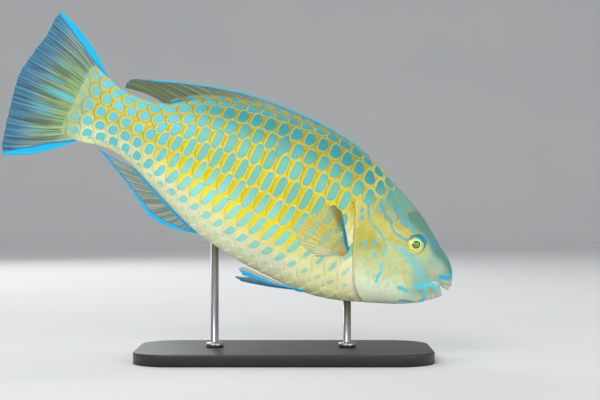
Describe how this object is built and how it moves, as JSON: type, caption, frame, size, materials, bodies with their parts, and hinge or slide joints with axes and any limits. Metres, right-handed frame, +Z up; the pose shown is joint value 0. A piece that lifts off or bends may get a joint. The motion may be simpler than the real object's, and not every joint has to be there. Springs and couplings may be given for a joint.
{
  "type": "parrotfish museum model",
  "caption": "Life-size still parrotfish, diving nose down with fins spread, held by two rods on a flat base.",
  "frame": {"origin": "centre of the stand base's underside", "axes": "+X the way the fish's head points, +Y the fish's left, +Z up; the body axis dips 26 degrees below +X"},
  "size_m": [0.4594, 0.1598, 0.3549],
  "materials": {
    "body_skin": "satin, blue-green spot on each scale over yellow",
    "head_skin": "satin, blue lines over pale green and ochre",
    "fin": "satin, blue edges over tan and grey membranes",
    "eye": "glossy, green pupil in a cream and yellow iris",
    "beak": "smooth enamel",
    "stand_base": "satin black",
    "stand_rod": "satin"
  },
  "bodies": {
    "root": {"head": "head_skin", "torso": "body_skin", "tail_stalk": "body_skin", "caudal_fin": "fin", "dorsal_fin": "fin", "anal_fin": "fin", "pectoral_fin_right": "fin", "pectoral_fin_left": "fin", "pelvic_fin_right": "fin", "pelvic_fin_left": "fin", "eye_right": "eye", "eye_left": "eye", "beak_upper": "beak", "beak_lower": "beak", "stand_base": "stand_base", "stand_rod_front": "stand_rod", "stand_rod_rear": "stand_rod"}
  },
  "joints": []
}
